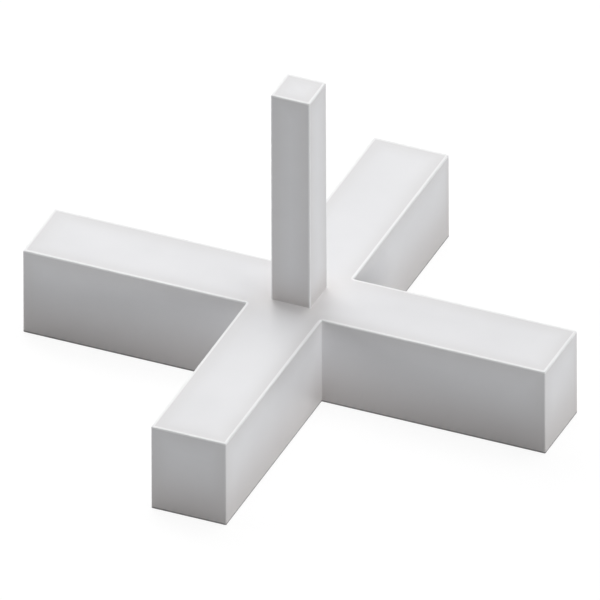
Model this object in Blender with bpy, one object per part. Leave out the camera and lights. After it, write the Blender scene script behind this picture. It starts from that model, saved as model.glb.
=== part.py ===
"""Cross-shaped tile spacer with a square peg to hold it by, moulded in one piece.

Four equal arms meet in a square crossing, and the peg stands on the crossing. Each arm lies
in the joint between two tiles, so the width of the arms is the width of the joint, and the
corner of a tile sits in each of the four corners between the arms.

The surface is a wall of level outlines, each joined to the next: out from the underside, up
the sides of the cross and over its rim, then up from the root of the peg and over its tip.

Lengths are in metres. +Z is up. X runs along the two side arms and Y along the front and
back arms, with the front arm at -Y. The origin is the middle of the underside.
"""

import math

import bmesh
import bpy
from mathutils import Matrix, Vector

MM = 0.001
QUARTER_TURN = math.radians(90)

# The cross
JOINT_WIDTH = 5.0 * MM  # width of each arm
ARM_LENGTH = 14.9 * MM  # from the side of the crossing to the end of the arm
ARM_HEIGHT = 6.0 * MM

# The peg, whose sides lean in a little towards the tip
PEG_HEIGHT = 15.0 * MM  # above the arms
PEG_ROOT_SIDE = 2.62 * MM
PEG_TIP_SIDE = 2.60 * MM
PEG_SIDEWAYS = 0.05 * MM  # from the middle of the crossing towards the right-hand arm
PEG_FORWARD = 0.25 * MM  # from the middle of the crossing towards the front arm

# The edges
UPRIGHT_RADIUS = 0.08 * MM  # down the ends of the arms and the corners of the peg
RIM_RADIUS = 0.06 * MM  # around the top and the underside of the cross, and the tip of the peg
INNER_RADIUS = 0.05 * MM  # between the arms, and around the root of the peg
ARC_SEGMENTS = 4

PLASTIC_COLOUR = (0.80, 0.80, 0.815, 1.0)
PLASTIC_ROUGHNESS = 0.42


def clear_scene():
    """Removes whatever the scene holds."""
    for thing in list(bpy.data.objects):
        bpy.data.objects.remove(thing, do_unlink=True)


def cross_corners():
    """The corners of the cross in plan, anticlockwise."""
    half = JOINT_WIDTH / 2
    reach = half + ARM_LENGTH
    front_arm = [Vector((-half, -reach)), Vector((half, -reach)), Vector((half, -half))]
    turns = [Matrix.Rotation(QUARTER_TURN * arm, 2) for arm in range(4)]
    return [turn @ corner for turn in turns for corner in front_arm]


def peg_corners(side):
    """The corners of the peg in plan, anticlockwise, where its sides have this width."""
    half = side / 2
    centre = Vector((PEG_SIDEWAYS, -PEG_FORWARD))
    steps = [(-half, -half), (half, -half), (half, half), (-half, half)]
    return [centre + Vector(step) for step in steps]


def arc_angles():
    """The angles of the points along a quarter of a circle."""
    return [QUARTER_TURN * step / ARC_SEGMENTS for step in range(ARC_SEGMENTS + 1)]


def arc_steps():
    """Two shares of the radius at each point along a quarter of a circle.

    The first grows from 0 to 1, slowly to begin with. The second falls from 1 to 0, fast to
    begin with.
    """
    return [(1 - math.cos(angle), 1 - math.sin(angle)) for angle in arc_angles()]


def outline(corners, height, inset):
    """The points of a level outline, inset from the corners in plan and rounded at each one."""
    points = []
    for place, corner in enumerate(corners):
        along = (corner - corners[place - 1]).normalized()
        onward = (corners[(place + 1) % len(corners)] - corner).normalized()
        turn = along.cross(onward)  # 1 where the corner points out, -1 where it points in
        radius = UPRIGHT_RADIUS if turn > 0 else INNER_RADIUS
        centre = corner + radius * (onward - along)
        for angle in arc_angles():
            spoke = along * math.sin(angle) - onward * math.cos(angle)
            flat = centre + spoke * (radius - inset * turn)
            points.append(Vector((flat.x, flat.y, height)))
    return points


def foot(corners):
    """The outlines that curve out from the flat underside to the wall above it."""
    return [outline(corners, RIM_RADIUS * grown, RIM_RADIUS * left) for grown, left in arc_steps()]


def rim(corners, height):
    """The outlines that curve in from a wall to the flat face on top of it, at this height."""
    return [
        outline(corners, height - RIM_RADIUS * left, RIM_RADIUS * grown)
        for grown, left in arc_steps()
    ]


def root(corners, height):
    """The outlines that curve in from the flat face at this height to a wall that stands on it."""
    return [
        outline(corners, height + INNER_RADIUS * grown, -INNER_RADIUS * left)
        for grown, left in arc_steps()
    ]


def add_wall(mesh, outlines):
    """Joins each outline to the one above it, and returns the lowest and highest as vertices."""
    loops = [[mesh.verts.new(point) for point in points] for points in outlines]
    for lower, upper in zip(loops, loops[1:]):
        for place in range(len(lower)):
            mesh.faces.new((lower[place - 1], lower[place], upper[place], upper[place - 1]))
    return loops[0], loops[-1]


def loop_edges(mesh, loop):
    """The edges that join the vertices of a closed loop."""
    return [mesh.edges.get((loop[place - 1], loop[place])) for place in range(len(loop))]


def add_surface(mesh):
    """Adds the walls of the cross and the peg, and the flat faces that close them."""
    cross = cross_corners()
    underside, cross_top = add_wall(mesh, foot(cross) + rim(cross, ARM_HEIGHT))
    peg_root = root(peg_corners(PEG_ROOT_SIDE), ARM_HEIGHT)
    peg_tip = rim(peg_corners(PEG_TIP_SIDE), ARM_HEIGHT + PEG_HEIGHT)
    peg_foot, peg_end = add_wall(mesh, peg_root + peg_tip)
    mesh.faces.new(underside)
    mesh.faces.new(peg_end)
    top_edges = loop_edges(mesh, cross_top) + loop_edges(mesh, peg_foot)
    bmesh.ops.triangle_fill(mesh, edges=top_edges, use_beauty=True)
    bmesh.ops.recalc_face_normals(mesh, faces=mesh.faces)


def shade(spacer):
    """Shades the arcs smooth and keeps the flat faces flat."""
    for face in spacer.data.polygons:
        face.use_smooth = True
    spacer.modifiers.new("flat_faces", "WEIGHTED_NORMAL")


def plastic():
    """Pale grey moulded plastic."""
    material = bpy.data.materials.new("pale_plastic")
    material.use_nodes = True
    shader = material.node_tree.nodes["Principled BSDF"]
    shader.inputs["Base Color"].default_value = PLASTIC_COLOUR
    shader.inputs["Roughness"].default_value = PLASTIC_ROUGHNESS
    shader.inputs["Metallic"].default_value = 0.0
    material.diffuse_color = PLASTIC_COLOUR
    return material


def build_spacer():
    """Makes the spacer as one solid, standing on its underside."""
    mesh = bmesh.new()
    add_surface(mesh)
    data = bpy.data.meshes.new("tile_spacer")
    mesh.to_mesh(data)
    mesh.free()
    data.materials.append(plastic())
    spacer = bpy.data.objects.new("tile_spacer", data)
    bpy.context.collection.objects.link(spacer)
    shade(spacer)


clear_scene()
build_spacer()
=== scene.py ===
"""A tile spacer: four arms that lie in the joints between tiles, and a square peg to lift it by.

The spacer is one moulding in pale grey plastic. Its visual model is shaped here at its real
size: the arms are drawn out of the crossing and their edges rounded, the peg is joined on and
rounded at its root, the flats take a grid and sink a little in their middles as thick mouldings
do, and the pins and the gate of the mould leave their marks underneath. The finish is a satin
plastic with light and shade painted on: a painted highlight along the edges, which are also a
little glossier, painted shade beside them and around the root of the peg, deeper painted shade
towards the foot of the walls, and a dark painted contact shadow along the ground.

Lengths are in metres. +Z is up. X runs along the two side arms and Y along the front and back
arms, with the front arm at -Y. The origin is the middle of the underside.
"""

from __future__ import annotations

import logging
import math
from dataclasses import dataclass
from enum import Enum
from typing import Callable, Iterator

import bmesh
import bpy
import numpy as np
from mathutils import Matrix, Vector
from mathutils.kdtree import KDTree


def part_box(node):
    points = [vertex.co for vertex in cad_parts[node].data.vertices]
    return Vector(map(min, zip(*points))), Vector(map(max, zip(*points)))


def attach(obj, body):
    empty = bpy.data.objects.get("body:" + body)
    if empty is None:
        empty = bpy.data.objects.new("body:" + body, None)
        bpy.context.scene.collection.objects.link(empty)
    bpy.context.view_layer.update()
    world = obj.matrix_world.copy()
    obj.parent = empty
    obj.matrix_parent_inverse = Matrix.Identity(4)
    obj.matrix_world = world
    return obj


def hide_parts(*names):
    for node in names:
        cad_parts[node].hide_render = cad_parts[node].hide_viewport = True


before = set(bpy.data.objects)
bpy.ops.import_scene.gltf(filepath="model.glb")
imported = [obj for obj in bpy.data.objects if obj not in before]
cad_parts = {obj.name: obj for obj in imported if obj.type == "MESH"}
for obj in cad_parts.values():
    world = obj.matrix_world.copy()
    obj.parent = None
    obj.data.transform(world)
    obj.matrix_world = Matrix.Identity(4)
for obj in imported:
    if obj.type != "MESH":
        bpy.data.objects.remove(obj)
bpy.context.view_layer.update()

log = logging.getLogger("tile_spacer")

MM = 0.001
NODE = "tile_spacer"
BODY = "root"

FLAT_ANGLE = math.radians(1)  # two faces that meet at less than this lie in one plane
SMOOTH_ANGLE = math.radians(40)  # an edge whose faces meet at more than this stays sharp
CORNER_ANGLE = math.radians(60)  # two faces that meet at more than this make a corner
NEAR = 0.001 * MM  # two heights closer than this are the same
ON_CUT = 0.00001 * MM  # a point closer than this to a cut lies on it
STEEP = 0.9  # an edge that rises by more than this share of its length is upright
TILTED = 0.5  # a normal whose Z is more than this looks up, one whose Z is less looks sideways
FACES_UP = 0.9  # a surface whose normal's Z is more than this is a top
MOST_CORNERS = 4  # a face with more corners than this is split into triangles
ROUND_PROFILE = 0.5  # the shape of a bevel that is part of a circle

Colour = tuple[float, float, float, float]
WHITE: Colour = (1.0, 1.0, 1.0, 1.0)


class Arm(Enum):
    """The four arms, by the way each one points."""

    FRONT = (0.0, -1.0, 0.0)
    RIGHT = (1.0, 0.0, 0.0)
    BACK = (0.0, 1.0, 0.0)
    LEFT = (-1.0, 0.0, 0.0)

    @property
    def direction(self) -> Vector:
        """The way the arm points, as a vector of length one."""
        return Vector(self.value)


class SurfaceMap(Enum):
    """The maps that the surface carries for its finish, each from 0 to 1."""

    # Painted highlight along the edges, which are also made a little glossier.
    RUBBED = "rubbed_edge"
    # Painted shade beside the edges.
    MARGIN = "margin"
    # Painted shade around the root of the peg.
    ROOT = "peg_root"
    # Painted shade towards the foot of the walls and of the peg.
    FOOT = "foot"


class Joining(Enum):
    """What becomes of a second solid that is put to the first."""

    ADD = "UNION"
    CUT = "DIFFERENCE"


@dataclass(frozen=True)
class Rounding:
    """How the edges are rounded.

    Args:
        upright: radius down the ends of the arms and the corners of the peg.
        rim: radius around the top and underside of the cross, and the tip of the peg.
        inner: radius between the arms, and around the root of the peg.
        segments: flat strips in each quarter turn.
    """

    upright: float = 0.08 * MM
    rim: float = 0.06 * MM
    inner: float = 0.05 * MM
    segments: int = 8

    def bevel(self, radius: float) -> None:
        """Rounds the picked edges to this radius."""
        bpy.ops.mesh.bevel(
            offset_type="OFFSET",
            offset=radius,
            segments=self.segments,
            profile=ROUND_PROFILE,
            affect="EDGES",
            clamp_overlap=False,
        )


class Shaping:
    """Edit mode on one object, whose faces and edges are picked by their place or normal.

    Args:
        piece: the object to shape.
    """

    def __init__(self, piece: bpy.types.Object) -> None:
        """Keeps the object that is to be shaped."""
        self.piece = piece

    def __enter__(self) -> Shaping:
        """Enters edit mode with nothing picked.

        Returns:
            This shaping, which then picks the faces and edges.
        """
        make_active(self.piece)
        bpy.ops.object.mode_set(mode="EDIT")
        bpy.ops.mesh.select_all(action="DESELECT")
        return self

    def __exit__(self, *_: object) -> None:
        """Goes back to object mode."""
        bpy.ops.object.mode_set(mode="OBJECT")

    def pick_all(self) -> None:
        """Picks the whole mesh."""
        bpy.ops.mesh.select_all(action="SELECT")

    def pick_faces(self, wanted: Callable[[bmesh.types.BMFace], bool]) -> None:
        """Picks the faces that pass a test, and nothing else.

        Args:
            wanted: says whether a face is picked.
        """
        bpy.ops.mesh.select_mode(type="FACE")
        bpy.ops.mesh.select_all(action="DESELECT")
        mesh = bmesh.from_edit_mesh(self.piece.data)
        for face in [face for face in mesh.faces if wanted(face)]:
            face.select_set(True)
        bmesh.update_edit_mesh(self.piece.data)

    def pick_edges(self, wanted: Callable[[bmesh.types.BMEdge], bool]) -> None:
        """Picks the edges that pass a test, and nothing else.

        Args:
            wanted: says whether an edge is picked.
        """
        bpy.ops.mesh.select_mode(type="EDGE")
        bpy.ops.mesh.select_all(action="DESELECT")
        mesh = bmesh.from_edit_mesh(self.piece.data)
        for edge in [edge for edge in mesh.edges if wanted(edge)]:
            edge.select_set(True)
        bmesh.update_edit_mesh(self.piece.data)


def make_active(piece: bpy.types.Object) -> None:
    """Selects one object and nothing else.

    Args:
        piece: the object that the next operators act on.
    """
    bpy.ops.object.select_all(action="DESELECT")
    piece.select_set(True)
    bpy.context.view_layer.objects.active = piece


def settle(name: str) -> bpy.types.Object:
    """Names the primitive that was just added, and puts its place and size in its mesh.

    Args:
        name: the name of the new object.

    Returns:
        The new object.
    """
    piece = bpy.context.active_object
    piece.name = name
    bpy.ops.object.transform_apply(location=True, rotation=True, scale=True)
    return piece


def add_block(name: str, size: Vector, centre: Vector) -> bpy.types.Object:
    """Adds a block.

    Args:
        name: the name of the new object.
        size: its length along X, Y and Z.
        centre: the middle of the block.

    Returns:
        The new object.
    """
    bpy.ops.object.select_all(action="DESELECT")
    bpy.ops.mesh.primitive_cube_add(size=1.0, location=centre, scale=size)
    return settle(name)


def add_pin(name: str, radius: float, low: float, high: float, sides: int) -> bpy.types.Object:
    """Adds an upright round pin on the Z axis.

    Args:
        name: the name of the new object.
        radius: the radius of the pin.
        low: the height of its lower end.
        high: the height of its upper end.
        sides: how many sides stand for its round.

    Returns:
        The new object.
    """
    bpy.ops.object.select_all(action="DESELECT")
    bpy.ops.mesh.primitive_cylinder_add(
        vertices=sides,
        radius=radius,
        depth=high - low,
        location=(0.0, 0.0, (low + high) / 2),
    )
    return settle(name)


def put_together(piece: bpy.types.Object, second: bpy.types.Object, joining: Joining) -> None:
    """Joins a second solid to a piece, or cuts it out, and removes the second solid.

    Args:
        piece: the solid that is kept.
        second: the solid that is joined or cut out.
        joining: which of the two is done.
    """
    make_active(piece)
    modifier = piece.modifiers.new("joining", "BOOLEAN")
    modifier.operation = joining.value
    modifier.solver = "EXACT"
    modifier.object = second
    bpy.ops.object.modifier_apply(modifier=modifier.name)
    bpy.data.objects.remove(second, do_unlink=True)


def is_upright(edge: bmesh.types.BMEdge) -> bool:
    """Whether an edge stands straight up."""
    along = edge.verts[1].co - edge.verts[0].co
    return abs(along.z) > STEEP * along.length


def is_side(face: bmesh.types.BMFace) -> bool:
    """Whether a face of a block stands upright."""
    return abs(face.normal.z) < TILTED


def is_top(face: bmesh.types.BMFace) -> bool:
    """Whether a face of a block looks up."""
    return face.normal.z > TILTED


def lies_at(edge: bmesh.types.BMEdge, height: float) -> bool:
    """Whether an edge lies level at a height."""
    return all(abs(corner.co.z - height) < NEAR for corner in edge.verts)


@dataclass(frozen=True)
class Cross:
    """The square crossing and the four equal arms that reach out of it.

    Args:
        span: from the end of one arm to the end of the opposite one.
        height: from the underside to the top of the arms.
        width: the width of each arm, which is the width of the joint between tiles.
        rounding: how the edges are rounded.
    """

    span: float
    height: float = 6.0 * MM
    width: float = 5.0 * MM
    rounding: Rounding = Rounding()

    @property
    def arm_length(self) -> float:
        """From the side of the crossing to the end of an arm."""
        return (self.span - self.width) / 2

    @property
    def edge_lines(self) -> list[float]:
        """Where the uprights stand along X, and along Y."""
        return [-self.span / 2, -self.width / 2, self.width / 2, self.span / 2]

    def build(self) -> bpy.types.Object:
        """Models the cross.

        Returns:
            The cross as one closed solid.
        """
        size = Vector((self.width, self.width, self.height))
        cross = add_block("cross", size, Vector((0.0, 0.0, self.height / 2)))
        with Shaping(cross) as shape:
            self.draw_out_arms(shape)
            self.round_uprights(shape)
            self.round_rims(shape)
        return cross

    def draw_out_arms(self, shape: Shaping) -> None:
        """Draws an arm out of each side of the crossing, and clears the seams on the flats.

        Args:
            shape: edit mode on the crossing.
        """
        shape.pick_faces(is_side)
        bpy.ops.mesh.extrude_faces_move(TRANSFORM_OT_shrink_fatten={"value": self.arm_length})
        shape.pick_all()
        bpy.ops.mesh.dissolve_limited(angle_limit=FLAT_ANGLE)

    def round_uprights(self, shape: Shaping) -> None:
        """Rounds the corners at the ends of the arms, and the corners between the arms.

        Args:
            shape: edit mode on the cross.
        """
        shape.pick_edges(lambda edge: is_upright(edge) and edge.is_convex)
        self.rounding.bevel(self.rounding.upright)
        shape.pick_edges(lambda edge: is_upright(edge) and not edge.is_convex)
        self.rounding.bevel(self.rounding.inner)

    def round_rims(self, shape: Shaping) -> None:
        """Rounds the edges around the top and the underside."""
        shape.pick_edges(lambda edge: lies_at(edge, 0.0) or lies_at(edge, self.height))
        self.rounding.bevel(self.rounding.rim)


@dataclass(frozen=True)
class Peg:
    """The square peg, whose sides lean in a little towards its tip.

    Args:
        foot: the height of the top of the arms, where the peg stands.
        tip: the height of its tip.
        root_side: its width at the root.
        tip_side: its width at the tip.
        sideways: from the middle of the crossing towards the right-hand arm.
        forward: from the middle of the crossing towards the front arm.
        sunk: how deep the block reaches into the crossing before the two are joined.
        rounding: how the edges are rounded.
    """

    foot: float
    tip: float
    root_side: float = 2.62 * MM
    tip_side: float = 2.60 * MM
    sideways: float = 0.05 * MM
    forward: float = 0.25 * MM
    sunk: float = 1.0 * MM
    rounding: Rounding = Rounding()

    @property
    def centre(self) -> Vector:
        """The middle of the peg in plan."""
        return Vector((self.sideways, -self.forward, 0.0))

    def side_lines(self, axis: int) -> list[float]:
        """Where its two sides stand along X, axis 0, or along Y, axis 1."""
        return [self.centre[axis] - self.root_side / 2, self.centre[axis] + self.root_side / 2]

    def build(self) -> bpy.types.Object:
        """Models the peg.

        Returns:
            The peg as one closed solid that reaches below its root.
        """
        low = self.foot - self.sunk
        size = Vector((self.root_side, self.root_side, self.tip - low))
        peg = add_block("peg", size, self.centre + Vector((0.0, 0.0, (low + self.tip) / 2)))
        taper = self.tip_side / self.root_side
        with Shaping(peg) as shape:
            shape.pick_faces(is_top)
            bpy.ops.transform.resize(value=(taper, taper, 1.0))
            shape.pick_edges(is_upright)
            self.rounding.bevel(self.rounding.upright)
            shape.pick_edges(lambda edge: lies_at(edge, self.tip))
            self.rounding.bevel(self.rounding.rim)
        return peg

    def is_root(self, edge: bmesh.types.BMEdge) -> bool:
        """Whether an edge runs round the foot of the peg, where it meets the crossing."""
        in_corner = not edge.is_convex and edge.calc_face_angle(0.0) > CORNER_ANGLE
        return in_corner and lies_at(edge, self.foot)

    def round_root(self, spacer: bpy.types.Object) -> None:
        """Fills the corner all round the root with a small radius."""
        with Shaping(spacer) as shape:
            shape.pick_edges(self.is_root)
            self.rounding.bevel(self.rounding.inner)


@dataclass(frozen=True)
class Grid:
    """The cuts that give the flats enough points to sink, and to carry their maps.

    Args:
        step: the usual distance between two cuts.
        beside_edges: distances of the closer cuts from each edge.
        closest_share: the closer cuts keep within this share of a flat from its edges.
    """

    step: float = 0.6 * MM
    beside_edges: tuple[float, ...] = (0.14 * MM, 0.2 * MM, 0.3 * MM, 0.5 * MM, 0.8 * MM)
    closest_share: float = 0.4

    def places(self, lines: list[float]) -> Iterator[float]:
        """Where the cuts go along one axis.

        Args:
            lines: the places of the edges along that axis, in order.

        Yields:
            The place of each cut.
        """
        for low, high in zip(lines, lines[1:]):
            widest = self.closest_share * (high - low)
            beside = [gap for gap in self.beside_edges if gap < widest]
            yield from (low + gap for gap in beside)
            yield from (high - gap for gap in beside)
            start, end = low + beside[-1], high - beside[-1]
            count = max(1, round((end - start) / self.step))
            yield from (start + (end - start) * cut / count for cut in range(1, count))

    def cut(self, spacer: bpy.types.Object, lines: dict[int, list[float]]) -> None:
        """Cuts the mesh into a grid, without opening it.

        Args:
            spacer: the object to cut.
            lines: the places of the edges along each axis, 0 for X, 1 for Y and 2 for Z.
        """
        with Shaping(spacer) as shape:
            for axis, places in lines.items():
                normal = Vector((0.0, 0.0, 0.0))
                normal[axis] = 1.0
                for place in self.places(places):
                    shape.pick_all()
                    bpy.ops.mesh.bisect(
                        plane_co=normal * place, plane_no=normal, threshold=ON_CUT
                    )


@dataclass(frozen=True)
class Sink:
    """The slight hollow that thick plastic takes in the middle of each flat as it cools.

    Args:
        depth: how far the middle of a flat draws in.
        reach: how far from an edge the full depth is reached.
    """

    depth: float = 0.04 * MM
    reach: float = 2.2 * MM

    def draw_in(self, spacer: bpy.types.Object, edges: EdgePoints) -> None:
        """Draws the flats in, and leaves the edges where they are.

        Args:
            spacer: the object to shape.
            edges: the points along its rounded edges.
        """
        group = spacer.vertex_groups.new(name="sink")
        for point in spacer.data.vertices:
            share = min(edges.distance_to_any(point.co) / self.reach, 1.0)
            group.add([point.index], self.ease(share), "REPLACE")
        make_active(spacer)
        modifier = spacer.modifiers.new("sink", "DISPLACE")
        modifier.vertex_group = group.name
        modifier.direction = "NORMAL"
        modifier.mid_level = 0.0
        modifier.strength = -self.depth
        bpy.ops.object.modifier_apply(modifier=modifier.name)
        spacer.vertex_groups.clear()

    @staticmethod
    def ease(share: float) -> float:
        """A share from 0 to 1, made to start and end gently."""
        return share * share * (3 - 2 * share)


@dataclass(frozen=True)
class MouldMarks:
    """The marks on the underside: one of an ejector pin in each arm, and the gate's in the middle.

    Args:
        surface: the height of the underside around the marks, once its flats are drawn in.
        pin_radius: radius of an ejector pin.
        pin_depth: how deep the pins leave their marks.
        pin_distance: from the middle of the crossing to each pin.
        pin_soft: radius round the bottom of a pin's mark.
        gate_radius: radius of the recess around the gate.
        gate_depth: depth of that recess.
        gate_soft: radius round the bottom of that recess.
        stub_radius: radius of the stub that is left where the gate broke off.
        stub_end: how far the stub stays above the surface that the spacer stands on.
        stub_soft: radius round the end of the stub.
        stub_sunk: how deep the stub reaches into the plastic before the two are joined.
        below: how far the cutting pins reach below the spacer.
        sides: how many sides stand for the round of each mark.
        segments: flat strips in the rounding of each mark.
    """

    surface: float
    pin_radius: float = 1.25 * MM
    pin_depth: float = 0.05 * MM
    pin_distance: float = 11.0 * MM
    pin_soft: float = 0.02 * MM
    gate_radius: float = 0.9 * MM
    gate_depth: float = 0.20 * MM
    gate_soft: float = 0.10 * MM
    stub_radius: float = 0.35 * MM
    stub_end: float = 0.08 * MM
    stub_soft: float = 0.0875 * MM
    stub_sunk: float = 0.20 * MM
    below: float = 1.0 * MM
    sides: int = 48
    segments: int = 3

    def soften(self, pin: bpy.types.Object, height: float, radius: float) -> None:
        """Rounds the end of a pin.

        Args:
            pin: the pin to shape.
            height: the height of the end that is rounded.
            radius: the radius of its rounded edge.
        """
        with Shaping(pin) as shape:
            shape.pick_edges(lambda edge: lies_at(edge, height))
            Rounding(segments=self.segments).bevel(radius)

    def press(self, spacer: bpy.types.Object) -> None:
        """Presses the marks into the underside.

        Args:
            spacer: the object to mark.
        """
        top = self.surface + self.pin_depth
        pattern = add_pin("ejector_pin", self.pin_radius, -self.below, top, self.sides)
        self.soften(pattern, top, self.pin_soft)
        for arm in Arm:
            pin = pattern.copy()
            pin.data = pattern.data.copy()
            pin.data.transform(Matrix.Translation(arm.direction * self.pin_distance))
            bpy.context.collection.objects.link(pin)
            put_together(spacer, pin, Joining.CUT)
        bpy.data.objects.remove(pattern, do_unlink=True)
        self.press_gate(spacer)

    def press_gate(self, spacer: bpy.types.Object) -> None:
        """Sinks the recess of the gate, and leaves the stub in it.

        Args:
            spacer: the object to mark.
        """
        top = self.surface + self.gate_depth
        recess = add_pin("gate_recess", self.gate_radius, -self.below, top, self.sides)
        self.soften(recess, top, self.gate_soft)
        put_together(spacer, recess, Joining.CUT)
        inner_end = top + self.stub_sunk
        stub = add_pin("gate_stub", self.stub_radius, self.stub_end, inner_end, self.sides)
        self.soften(stub, self.stub_end, self.stub_soft)
        put_together(spacer, stub, Joining.ADD)


def read_points(mesh: bpy.types.Mesh, what: str) -> np.ndarray:
    """The places or the normals of all the points of a mesh.

    Args:
        mesh: the mesh to read.
        what: co for the places, normal for the normals.

    Returns:
        One row of three numbers for each point.
    """
    values = np.empty(len(mesh.vertices) * 3)
    mesh.vertices.foreach_get(what, values)
    return values.reshape(-1, 3)


def plant_tree(points: np.ndarray) -> KDTree:
    """A tree that finds the nearest of these points.

    Args:
        points: one row of three numbers for each point.

    Returns:
        The tree, ready for searches.
    """
    tree = KDTree(len(points))
    for number, point in enumerate(points):
        tree.insert(point, number)
    tree.balance()
    return tree


class EdgePoints:
    """The points midway round the rounded edges, from which the finish measures its distances.

    Args:
        spacer: the object, before its flats are drawn in and marked.
        peg: the peg, whose root is found by its place.
    """

    HALF_TURN = math.radians(45)  # how far the surface has turned midway round an edge
    MIDWAY = 0.9  # how far round an edge a point lies to be kept, where 1 is midway
    LEVEL = 0.3  # the edge of a point that faces up or down more than this runs level

    def __init__(self, spacer: bpy.types.Object, peg: Peg) -> None:
        """Finds the points along the edges that stand out, the corners that lie in, and the root."""
        places = read_points(spacer.data, "co")
        midway = self.turn(spacer.data) > self.MIDWAY
        outward = self.bulge(spacer.data) > 0
        level = np.abs(read_points(spacer.data, "normal")[:, 2]) > self.LEVEL
        at_root = (np.abs(places[:, 2] - peg.foot) < peg.rounding.inner) & ~outward
        at_root &= np.abs(places[:, 0] - peg.centre.x) < peg.root_side
        at_root &= np.abs(places[:, 1] - peg.centre.y) < peg.root_side
        self.rims = plant_tree(places[midway & outward & level])
        self.uprights = plant_tree(places[midway & outward & ~level])
        self.inward = plant_tree(places[midway & ~outward])
        self.root = plant_tree(places[midway & at_root])
        self.peg_foot = peg.foot

    @classmethod
    def turn(cls, mesh: bpy.types.Mesh) -> np.ndarray:
        """How far round an edge each point lies: 0 on a flat, 1 midway between two flats."""
        straightest = np.abs(read_points(mesh, "normal")).max(axis=1)
        return np.clip((1 - straightest) / (1 - math.cos(cls.HALF_TURN)), 0.0, 1.0)

    @staticmethod
    def bulge(mesh: bpy.types.Mesh) -> np.ndarray:
        """How the surface bends at each point.

        Args:
            mesh: the mesh.

        Returns:
            One number for each point, above 0 where it stands out and below 0 in a corner.
        """
        places, normals = read_points(mesh, "co"), read_points(mesh, "normal")
        ends = np.empty(len(mesh.edges) * 2, dtype=np.int64)
        mesh.edges.foreach_get("vertices", ends)
        first, second = ends.reshape(-1, 2).T
        along = places[second] - places[first]
        along /= np.linalg.norm(along, axis=1)[:, None]
        bend = np.zeros(len(places))
        np.add.at(bend, first, -(along * normals[first]).sum(axis=1))
        np.add.at(bend, second, (along * normals[second]).sum(axis=1))
        return bend

    def distance_to_any(self, place: Vector) -> float:
        """How far a place is from the nearest rounded edge or corner."""
        return min(tree.find(place)[2] for tree in (self.rims, self.uprights, self.inward))

    @staticmethod
    def distances(tree: KDTree, mesh: bpy.types.Mesh) -> np.ndarray:
        """How far each point of a mesh is from the nearest of some edge points.

        Args:
            tree: the edge points.
            mesh: the mesh.

        Returns:
            One distance for each point.
        """
        return np.array([tree.find(point.co)[2] for point in mesh.vertices])


@dataclass(frozen=True)
class Surface:
    """The maps of the finish, painted by how far each point is from the edges and the root.

    Args:
        highlight_reach: how far from the middle of an edge its strip of painted highlight and lower
            roughness can lie.
        top_reach: how far that strip can reach on the tops.
        margin_reach: how far the painted shade beside an edge fades.
        root_reach: how far the painted shade around the root of the peg fades.
        foot_reach: how far up the walls the painted shade at their foot fades.
        marks_reach: the sides of the marks underneath, which have no foot, lie lower than this
            and further than this from a rim.
        peg_foot_reach: how far up the peg the painted shade at its own foot fades.
        peg_foot_share: how deep that painted shade is on the peg, where the foot of the walls is 1.
        peg_share: how strong the painted highlight and the lower roughness are on the uprights of
            the peg, where a rim is 1.
        arm_share: how strong the painted highlight and the lower roughness are on the uprights of
            the cross, where a rim is 1.
    """

    highlight_reach: float = 0.09 * MM
    top_reach: float = 0.13 * MM
    margin_reach: float = 0.8 * MM
    root_reach: float = 1.4 * MM
    foot_reach: float = 2.7 * MM
    marks_reach: float = 0.3 * MM
    peg_foot_reach: float = 1.1 * MM
    peg_foot_share: float = 0.75
    peg_share: float = 0.8
    arm_share: float = 0.15

    def paint(self, spacer: bpy.types.Object, edges: EdgePoints) -> None:
        """Stores the maps on the mesh.

        Args:
            spacer: the object that carries the maps.
            edges: the points along its rounded edges.
        """
        mesh = spacer.data
        height = read_points(mesh, "co")[:, 2]
        up = read_points(mesh, "normal")[:, 2]
        rim, upright, root = (
            edges.distances(tree, mesh) for tree in (edges.rims, edges.uprights, edges.root)
        )
        on_peg = height > edges.peg_foot
        # Painted highlight, and lower roughness, along the edges: in full on the rims and the tops
        # beside them, weaker on the uprights, more on the peg's than on the cross's.
        held = np.where(on_peg, self.peg_share, self.arm_share)
        on_upright = np.where(upright < self.highlight_reach, held, 0.0)
        on_rim = (rim < self.highlight_reach) | ((rim < self.top_reach) & (up > FACES_UP))
        # Painted shade beside the edges.
        margin = self.fade(np.minimum(rim, upright), self.margin_reach)
        # Painted shade towards the foot of the walls and of the peg, kept off the sides of the marks
        # underneath.
        in_mark = (height < self.marks_reach) & (rim > self.marks_reach)
        wall = np.where(in_mark, 0.0, 1 - np.abs(up))
        peg_foot = self.peg_foot_share * self.fade(height - edges.peg_foot, self.peg_foot_reach)
        foot = np.where(on_peg, peg_foot, self.fade(height, self.foot_reach))
        self.store(mesh, SurfaceMap.RUBBED, np.where(on_rim, 1.0, on_upright))
        self.store(mesh, SurfaceMap.MARGIN, margin)
        # Painted shade around the root of the peg.
        self.store(mesh, SurfaceMap.ROOT, self.fade(root, self.root_reach))
        self.store(mesh, SurfaceMap.FOOT, wall * foot)

    @staticmethod
    def fade(distance: np.ndarray, reach: float) -> np.ndarray:
        """A value that falls softly from 1 at no distance towards 0 beyond the reach."""
        return np.exp(-((distance / reach) ** 2))

    @staticmethod
    def store(mesh: bpy.types.Mesh, surface_map: SurfaceMap, values: np.ndarray) -> None:
        """Stores one map as an attribute of the points."""
        attribute = mesh.attributes.new(surface_map.value, "FLOAT", "POINT")
        attribute.data.foreach_set("value", values.astype(np.float32))


@dataclass(frozen=True)
class Pattern:
    """A soft random pattern.

    Args:
        size: the length of its largest features.
        detail: how many finer layers it has.
    """

    size: float
    detail: float


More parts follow.
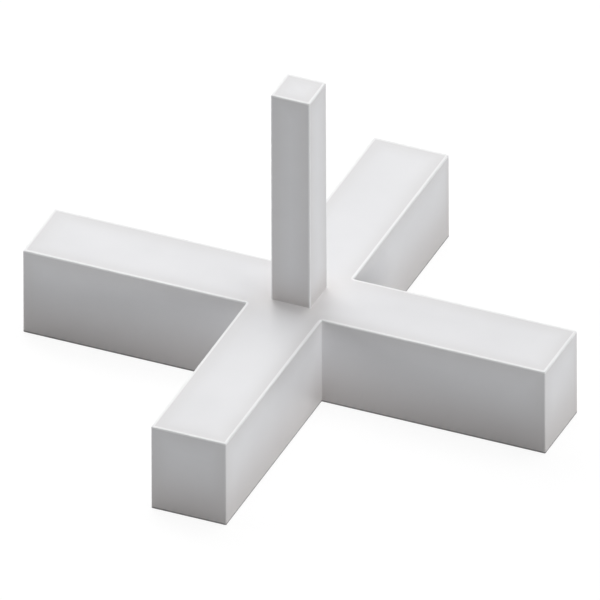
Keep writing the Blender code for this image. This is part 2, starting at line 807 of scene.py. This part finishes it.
class Recipe:
    """The nodes of one material.

    Args:
        name: the name of the material.
    """

    FIRST_COLOUR, SECOND_COLOUR, BLENDED_COLOUR = 6, 7, 2  # sockets of a mix of two colours
    PATTERN_RANGE = (0.3, 0.7)  # nearly all of a random pattern lies between these

    def __init__(self, name: str) -> None:
        """Starts the material with its main shader, and reads the place of each point."""
        self.material = bpy.data.materials.new(name)
        self.material.use_nodes = True
        self.tree = self.material.node_tree
        self.shader = self.tree.nodes["Principled BSDF"]
        self.place = self.add("ShaderNodeTexCoord").outputs["Object"]

    def add(self, kind: str) -> bpy.types.Node:
        """Adds a node of this kind."""
        return self.tree.nodes.new(kind)

    def join(self, source: bpy.types.NodeSocket, target: bpy.types.NodeSocket) -> None:
        """Joins an output to an input."""
        self.tree.links.new(source, target)

    def surface_map(self, surface_map: SurfaceMap) -> bpy.types.NodeSocket:
        """Reads one of the maps that the surface carries.

        Args:
            surface_map: the map to read.

        Returns:
            Its value at each point.
        """
        node = self.add("ShaderNodeAttribute")
        node.attribute_name = surface_map.value
        return node.outputs["Fac"]

    def noise(self, pattern: Pattern) -> bpy.types.NodeSocket:
        """Lays a random pattern through the plastic.

        Args:
            pattern: its size and detail.

        Returns:
            The pattern, around 0.5.
        """
        node = self.add("ShaderNodeTexNoise")
        node.inputs["Scale"].default_value = 1 / pattern.size
        node.inputs["Detail"].default_value = pattern.detail
        self.join(self.place, node.inputs["Vector"])
        return node.outputs["Fac"]

    def patches(self, pattern: Pattern, low: float, high: float) -> bpy.types.NodeSocket:
        """Patches of a random pattern, spread from low to high."""
        return self.spread(self.noise(pattern), *self.PATTERN_RANGE, low, high)

    def spread(
        self, value: bpy.types.NodeSocket, start: float, end: float, low: float, high: float
    ) -> bpy.types.NodeSocket:
        """Stretches a value from one range to another.

        Args:
            value: the value to stretch.
            start: the lower end of its range.
            end: the upper end of its range.
            low: what the lower end becomes.
            high: what the upper end becomes.

        Returns:
            The stretched value, kept between low and high.
        """
        node = self.add("ShaderNodeMapRange")
        node.inputs["From Min"].default_value = start
        node.inputs["From Max"].default_value = end
        node.inputs["To Min"].default_value = low
        node.inputs["To Max"].default_value = high
        self.join(value, node.inputs["Value"])
        return node.outputs["Result"]

    def height(self) -> bpy.types.NodeSocket:
        """Reads how high each point lies.

        Returns:
            Its height above the underside.
        """
        node = self.add("ShaderNodeSeparateXYZ")
        self.join(self.place, node.inputs["Vector"])
        return node.outputs["Z"]

    def product(
        self, first: bpy.types.NodeSocket, second: bpy.types.NodeSocket
    ) -> bpy.types.NodeSocket:
        """Multiplies two values.

        Args:
            first: one of the values.
            second: the other one.

        Returns:
            Their product.
        """
        node = self.add("ShaderNodeMath")
        node.operation = "MULTIPLY"
        self.join(first, node.inputs[0])
        self.join(second, node.inputs[1])
        return node.outputs["Value"]

    def blend(
        self,
        share: bpy.types.NodeSocket,
        first: Colour | bpy.types.NodeSocket,
        second: Colour | bpy.types.NodeSocket,
    ) -> bpy.types.NodeSocket:
        """Blends two colours.

        Args:
            share: how much of the second colour there is.
            first: the colour where the share is 0.
            second: the colour where the share is 1.

        Returns:
            The blended colour.
        """
        node = self.add("ShaderNodeMix")
        node.data_type = "RGBA"
        self.join(share, node.inputs["Factor"])
        colours = {self.FIRST_COLOUR: first, self.SECOND_COLOUR: second}
        for number, colour in colours.items():
            socket = node.inputs[number]
            if isinstance(colour, tuple):
                socket.default_value = colour
            else:
                self.join(colour, socket)
        return node.outputs[self.BLENDED_COLOUR]


@dataclass(frozen=True)
class SatinPlastic:
    """Pale grey plastic from a mould with a fine satin face.

    Args:
        pale: its lighter tone.
        deep: its deeper tone, in faint clouds a few millimetres wide.
        margin: painted shade beside the edges.
        margin_share: how much of that painted shade it takes on there.
        root: painted shade around the root of the peg.
        root_share: how much of that painted shade it takes on there.
        foot: painted shade towards the foot of the walls and of the peg.
        contact_shadow: a dark painted contact shadow along the foot itself.
        contact_shadow_height: how high that painted contact shadow reaches, and where it ends.
        edge_highlight: a painted highlight along the edges.
        highlight_range: where the map of the painted highlight starts to show, and where it shows in
            full.
        rubbed_roughness: how rough the edges under the painted highlight are, where their usual
            roughness is 1.
        clouds: the pattern of the clouds.
        patches: the pattern of the rougher and smoother patches.
        grain: the pattern of the grain that the mould leaves.
        grain_height: how high that grain stands.
        waves: the pattern of the slow waves in the surface.
        wave_height: how high those waves stand.
        roughness: its usual roughness.
        roughness_swing: how far the roughness goes up and down from place to place.
    """

    pale: Colour = (0.815, 0.815, 0.830, 1.0)
    deep: Colour = (0.785, 0.785, 0.800, 1.0)
    margin: Colour = (0.700, 0.690, 0.690, 1.0)
    margin_share: float = 0.6
    root: Colour = (0.800, 0.780, 0.775, 1.0)
    root_share: float = 0.6
    foot: Colour = (0.620, 0.596, 0.589, 1.0)
    contact_shadow: Colour = (0.250, 0.240, 0.238, 1.0)
    contact_shadow_height: tuple[float, float] = (0.11 * MM, 0.16 * MM)
    edge_highlight: Colour = (0.885, 0.885, 0.890, 1.0)
    highlight_range: tuple[float, float] = (0.2, 0.7)
    rubbed_roughness: float = 0.85
    clouds: Pattern = Pattern(size=5.0 * MM, detail=3.0)
    patches: Pattern = Pattern(size=1.6 * MM, detail=4.0)
    grain: Pattern = Pattern(size=0.10 * MM, detail=2.0)
    grain_height: float = 0.002 * MM
    waves: Pattern = Pattern(size=1.6 * MM, detail=1.0)
    wave_height: float = 0.004 * MM
    roughness: float = 0.42
    roughness_swing: float = 0.06

    def material(self) -> bpy.types.Material:
        """Makes the material.

        Returns:
            The material of the whole spacer.
        """
        recipe = Recipe("satin_plastic")
        self.colour(recipe)
        self.gloss(recipe)
        self.relief(recipe)
        return recipe.material

    def colour(self, recipe: Recipe) -> None:
        """Gives the plastic its clouds, and paints a highlight along the edges, shade beside them,
        around the root and towards the foot, and a contact shadow along the ground.

        Args:
            recipe: the nodes of the material.
        """
        clouds = recipe.patches(self.clouds, 0.0, 1.0)
        tone = recipe.blend(clouds, self.deep, self.pale)
        # Painted shade beside the edges.
        margin = recipe.surface_map(SurfaceMap.MARGIN)
        beside = recipe.spread(margin, 0.0, 1.0, 0.0, self.margin_share)
        tone = recipe.blend(beside, tone, self.margin)
        # Painted shade around the root of the peg.
        root = recipe.surface_map(SurfaceMap.ROOT)
        around = recipe.spread(root, 0.0, 1.0, 0.0, self.root_share)
        tone = recipe.blend(around, tone, self.root)
        # Painted shade towards the foot of the walls and of the peg.
        low = recipe.surface_map(SurfaceMap.FOOT)
        tone = recipe.blend(low, tone, self.foot)
        # Painted highlight along the edges.
        edge_highlight = recipe.surface_map(SurfaceMap.RUBBED)
        along = recipe.spread(edge_highlight, *self.highlight_range, 0.0, 1.0)
        tone = recipe.blend(along, tone, self.edge_highlight)
        # A dark painted contact shadow along the very foot of the walls.
        lowest = recipe.product(low, recipe.spread(recipe.height(), *self.contact_shadow_height, 1.0, 0.0))
        recipe.join(recipe.blend(lowest, tone, self.contact_shadow), recipe.shader.inputs["Base Color"])

    def gloss(self, recipe: Recipe) -> None:
        """Makes the roughness change a little from place to place, and lowers it on the edges.

        Args:
            recipe: the nodes of the material.
        """
        low, high = self.roughness - self.roughness_swing, self.roughness + self.roughness_swing
        patches = recipe.patches(self.patches, low, high)
        edge_highlight = recipe.surface_map(SurfaceMap.RUBBED)
        smoother = recipe.spread(edge_highlight, 0.0, 1.0, 1.0, self.rubbed_roughness)
        recipe.join(recipe.product(patches, smoother), recipe.shader.inputs["Roughness"])

    def relief(self, recipe: Recipe) -> None:
        """Raises the fine grain on the slow waves.

        Args:
            recipe: the nodes of the material.
        """
        waves = self.bump(recipe, recipe.noise(self.waves), self.wave_height, None)
        grain = self.bump(recipe, recipe.noise(self.grain), self.grain_height, waves)
        recipe.join(grain, recipe.shader.inputs["Normal"])

    @staticmethod
    def bump(
        recipe: Recipe,
        pattern: bpy.types.NodeSocket,
        height: float,
        under: bpy.types.NodeSocket | None,
    ) -> bpy.types.NodeSocket:
        """Raises a pattern from the surface.

        Args:
            recipe: the nodes of the material.
            pattern: the pattern to raise.
            height: how high it stands.
            under: the relief that it lies on, if there is one.

        Returns:
            The relief.
        """
        node = recipe.add("ShaderNodeBump")
        node.inputs["Strength"].default_value = 1.0
        node.inputs["Distance"].default_value = height
        recipe.join(pattern, node.inputs["Height"])
        if under is not None:
            recipe.join(under, node.inputs["Normal"])
        return node.outputs["Normal"]


@dataclass(frozen=True)
class Spacer:
    """The whole spacer, moulded in one piece.

    Args:
        cross: its arms and crossing.
        peg: its peg.
        grid: the cuts across its flats.
        sink: how its flats draw in.
        surface: the maps for its finish.
        finish: its plastic.
    """

    cross: Cross
    peg: Peg
    grid: Grid = Grid()
    sink: Sink = Sink()
    surface: Surface = Surface()
    finish: SatinPlastic = SatinPlastic()

    def build(self) -> bpy.types.Object:
        """Models the spacer and dresses it.

        Returns:
            The finished piece.
        """
        spacer = self.cross.build()
        put_together(spacer, self.peg.build(), Joining.ADD)
        self.peg.round_root(spacer)
        self.cut_grid(spacer)
        edges = EdgePoints(spacer, self.peg)
        self.sink.draw_in(spacer, edges)
        MouldMarks(surface=self.sink.depth).press(spacer)
        self.split_faces(spacer)
        self.surface.paint(spacer, edges)
        self.shade(spacer)
        self.dress(spacer)
        return spacer

    def cut_grid(self, spacer: bpy.types.Object) -> None:
        """Cuts the grid between the edges of the cross and of the peg.

        Args:
            spacer: the object to cut.
        """
        lines = {
            axis: sorted(self.cross.edge_lines + self.peg.side_lines(axis)) for axis in (0, 1)
        }
        lines[2] = [0.0, self.cross.height, self.peg.tip]
        self.grid.cut(spacer, lines)

    def split_faces(self, spacer: bpy.types.Object) -> None:
        """Splits the faces with many corners into triangles that all have an area.

        Args:
            spacer: the object to shape.
        """
        with Shaping(spacer) as shape:
            shape.pick_faces(lambda face: len(face.verts) > MOST_CORNERS)
            bpy.ops.mesh.quads_convert_to_tris(quad_method="BEAUTY", ngon_method="BEAUTY")

    def shade(self, spacer: bpy.types.Object) -> None:
        """Shades the rounded edges smooth, and keeps the flats even.

        Args:
            spacer: the object to shade.
        """
        make_active(spacer)
        bpy.ops.object.shade_smooth_by_angle(angle=SMOOTH_ANGLE)
        modifier = spacer.modifiers.new("even_flats", "WEIGHTED_NORMAL")
        modifier.keep_sharp = True
        bpy.ops.object.modifier_apply(modifier=modifier.name)

    def dress(self, spacer: bpy.types.Object) -> None:
        """Gives the piece its name, its plastic and its place on the frame.

        Args:
            spacer: the finished object.
        """
        spacer.name = "spacer_body"
        spacer.data.name = "spacer_body"
        spacer.data.materials.clear()
        spacer.data.materials.append(self.finish.material())
        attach(spacer, BODY)
        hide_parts(NODE)


@dataclass(frozen=True)
class Lamp:
    """A round soft lamp.

    Args:
        name: the name of the lamp.
        azimuth: its direction in plan, in degrees from +X round towards +Y.
        elevation: how high it stands, in degrees above the floor.
        level: how bright it makes a white surface that faces it, where 1 is white.
        width: how wide it is.
        distance: how far it is from the spacer.
    """

    name: str
    azimuth: float
    elevation: float
    level: float
    width: float
    distance: float = 0.4

    @property
    def direction(self) -> Vector:
        """The way from the spacer to the lamp.

        Returns:
            A vector of length one.
        """
        azimuth, elevation = math.radians(self.azimuth), math.radians(self.elevation)
        across = math.cos(elevation)
        return Vector(
            (across * math.cos(azimuth), across * math.sin(azimuth), math.sin(elevation))
        )

    @property
    def power(self) -> float:
        """The power of the lamp, which makes a white surface power / (pi * distance)^2 bright."""
        return self.level * (math.pi * self.distance) ** 2

    def build(self) -> bpy.types.Object:
        """Places the lamp, and points it at the spacer.

        Returns:
            The lamp.
        """
        light = bpy.data.lights.new(self.name, "AREA")
        light.shape = "DISK"
        light.size = self.width
        light.energy = self.power
        lamp = bpy.data.objects.new(self.name, light)
        direction = self.direction
        lamp.location = direction * self.distance
        lamp.rotation_mode = "QUATERNION"
        lamp.rotation_quaternion = direction.to_track_quat("Z", "Y")
        bpy.context.collection.objects.link(lamp)
        return lamp


@dataclass(frozen=True)
class PaleFloor:
    """A plain white floor that keeps a pale shadow of the spacer.

    Args:
        width: how wide it is.
        shine: how white the camera sees it in full shadow, where 1 is white.
        shaded: the part of its tone that the shadow takes away from the camera.
        bounce: the tone of the light that it sends back up.
        roughness: how rough it is, where 1 is fully dull.
        gloss: how much it shines, where 0 is not at all.
    """

    width: float = 3.0
    shine: float = 0.88
    shaded: Colour = (0.16, 0.16, 0.16, 1.0)
    bounce: Colour = (0.75, 0.76, 0.77, 1.0)
    roughness: float = 1.0
    gloss: float = 0.0

    def build(self) -> bpy.types.Object:
        """Lays the floor.

        Returns:
            The floor.
        """
        bpy.ops.object.select_all(action="DESELECT")
        bpy.ops.mesh.primitive_plane_add(size=self.width, location=(0.0, 0.0, 0.0))
        floor = settle("floor")
        floor.data.materials.append(self.material())
        return floor

    def material(self) -> bpy.types.Material:
        """Makes the floor white to the eye, and dimmer in the light that it sends back.

        Returns:
            The material of the floor.
        """
        recipe = Recipe("pale_floor")
        seen = to_the_eye(recipe.tree)
        tone = recipe.blend(seen, self.bounce, self.shaded)
        recipe.join(tone, recipe.shader.inputs["Base Color"])
        recipe.shader.inputs["Roughness"].default_value = self.roughness
        recipe.shader.inputs["Specular IOR Level"].default_value = self.gloss
        recipe.shader.inputs["Emission Color"].default_value = WHITE
        strength = recipe.spread(seen, 0.0, 1.0, 0.0, self.shine)
        recipe.join(strength, recipe.shader.inputs["Emission Strength"])
        return recipe.material


def to_the_eye(tree: bpy.types.NodeTree) -> bpy.types.NodeSocket:
    """1 for the rays that a camera, a gloss or a clear piece sees, and 0 for the rest.

    Args:
        tree: the nodes of a material or of the world.

    Returns:
        The value.
    """
    path = tree.nodes.new("ShaderNodeLightPath")
    value = path.outputs["Is Camera Ray"]
    for kind in ("Is Glossy Ray", "Is Transmission Ray"):
        larger = tree.nodes.new("ShaderNodeMath")
        larger.operation = "MAXIMUM"
        tree.links.new(value, larger.inputs[0])
        tree.links.new(path.outputs[kind], larger.inputs[1])
        value = larger.outputs["Value"]
    return value


@dataclass(frozen=True)
class Surround:
    """The white room around the spacer, and the dim light that it gives.

    Args:
        ambient: the colour of its light on the spacer.
        level: how bright that light is.
    """

    ambient: Colour = (0.97, 0.985, 1.0, 1.0)
    level: float = 0.03

    def build(self) -> None:
        """Makes the world."""
        world = bpy.data.worlds.new("white_room")
        bpy.context.scene.world = world
        world.use_nodes = True
        tree = world.node_tree
        light = tree.nodes["Background"]
        light.inputs["Color"].default_value = self.ambient
        light.inputs["Strength"].default_value = self.level
        white = tree.nodes.new("ShaderNodeBackground")
        white.inputs["Color"].default_value = WHITE
        white.inputs["Strength"].default_value = 1.0
        either = tree.nodes.new("ShaderNodeMixShader")
        share, unseen, seen = either.inputs
        tree.links.new(to_the_eye(tree), share)
        tree.links.new(light.outputs["Background"], unseen)
        tree.links.new(white.outputs["Background"], seen)
        tree.links.new(either.outputs["Shader"], tree.nodes["World Output"].inputs["Surface"])


@dataclass(frozen=True)
class Viewpoint:
    """The drawing's viewpoint, which has no perspective.

    Args:
        azimuth: how far it is turned to the right of the front, in degrees.
        elevation: how far it looks down, in degrees.
        roll: how far the picture is turned, in degrees.
        width: the width that the picture shows.
        right: from the spacer's origin to the picture's centre, along the picture.
        up: from the spacer's origin to the picture's centre, up the picture.
        distance: from that centre to the camera.
        clip_ratio: how many times nearer, and further, than that the camera still sees.
    """

    azimuth: float = 23.2333
    elevation: float = 33.5635
    roll: float = -0.1957
    width: float = 36.762 * MM
    right: float = -0.0148 * MM
    up: float = 4.4298 * MM
    distance: float = 0.3
    clip_ratio: float = 100.0

    def axes(self) -> tuple[Vector, Vector, Vector]:
        """The directions of the picture.

        Returns:
            Its right, its up and the way back to the camera, as vectors of length one.
        """
        azimuth, elevation = math.radians(self.azimuth), math.radians(self.elevation)
        level = Vector((math.cos(azimuth), math.sin(azimuth), 0.0))
        forward = Vector((-math.sin(azimuth), math.cos(azimuth), 0.0))
        back = Vector((0.0, 0.0, 1.0)) * math.sin(elevation) - forward * math.cos(elevation)
        turn = Matrix.Rotation(math.radians(self.roll), 3, back)
        return turn @ level, turn @ back.cross(level), back

    def build(self) -> bpy.types.Object:
        """Sets up the camera.

        Returns:
            The camera.
        """
        lens = bpy.data.cameras.new("camera")
        lens.type = "ORTHO"
        lens.ortho_scale = self.width
        lens.clip_start = self.distance / self.clip_ratio
        lens.clip_end = self.distance * self.clip_ratio
        camera = bpy.data.objects.new("camera", lens)
        bpy.context.collection.objects.link(camera)
        right, up, back = self.axes()
        place = right * self.right + up * self.up + back * self.distance
        turn = Matrix((right, up, back)).transposed().to_4x4()
        camera.matrix_world = Matrix.Translation(place) @ turn
        bpy.context.scene.camera = camera
        return camera


@dataclass(frozen=True)
class Studio:
    """The floor, the white room, the camera and the lamps.

    Args:
        floor: what the spacer stands on.
        surround: the room.
        viewpoint: where the camera stands.
        lamps: the soft lamps, which all stand clear of the floor.
    """

    floor: PaleFloor = PaleFloor()
    surround: Surround = Surround()
    viewpoint: Viewpoint = Viewpoint()
    lamps: tuple[Lamp, ...] = (
        Lamp("back_left", azimuth=135, elevation=48, level=0.36, width=0.30),
        Lamp("high_right", azimuth=45, elevation=75, level=0.46, width=0.30),
        Lamp("overhead", azimuth=90, elevation=88, level=0.15, width=0.30),
        Lamp("low_left", azimuth=190, elevation=11, level=0.41, width=0.15),
        Lamp("low_right", azimuth=345, elevation=7.5, level=0.33, width=0.10),
    )

    def build(self) -> None:
        """Sets up the studio, and leaves the colours of the picture as they are."""
        self.floor.build()
        self.surround.build()
        self.viewpoint.build()
        for lamp in self.lamps:
            lamp.build()
        bpy.context.scene.view_settings.view_transform = "Standard"


def main() -> None:
    """Builds the spacer and its studio."""
    low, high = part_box(NODE)
    cross = Cross(span=high.x - low.x)
    peg = Peg(foot=cross.height, tip=high.z)
    piece = Spacer(cross=cross, peg=peg).build()
    log.info("%s: %d faces", piece.name, len(piece.data.polygons))
    Studio().build()
    log.info("studio: floor, room, lamps and camera")


if __name__ == "__main__":
    logging.basicConfig(level=logging.INFO)
    main()
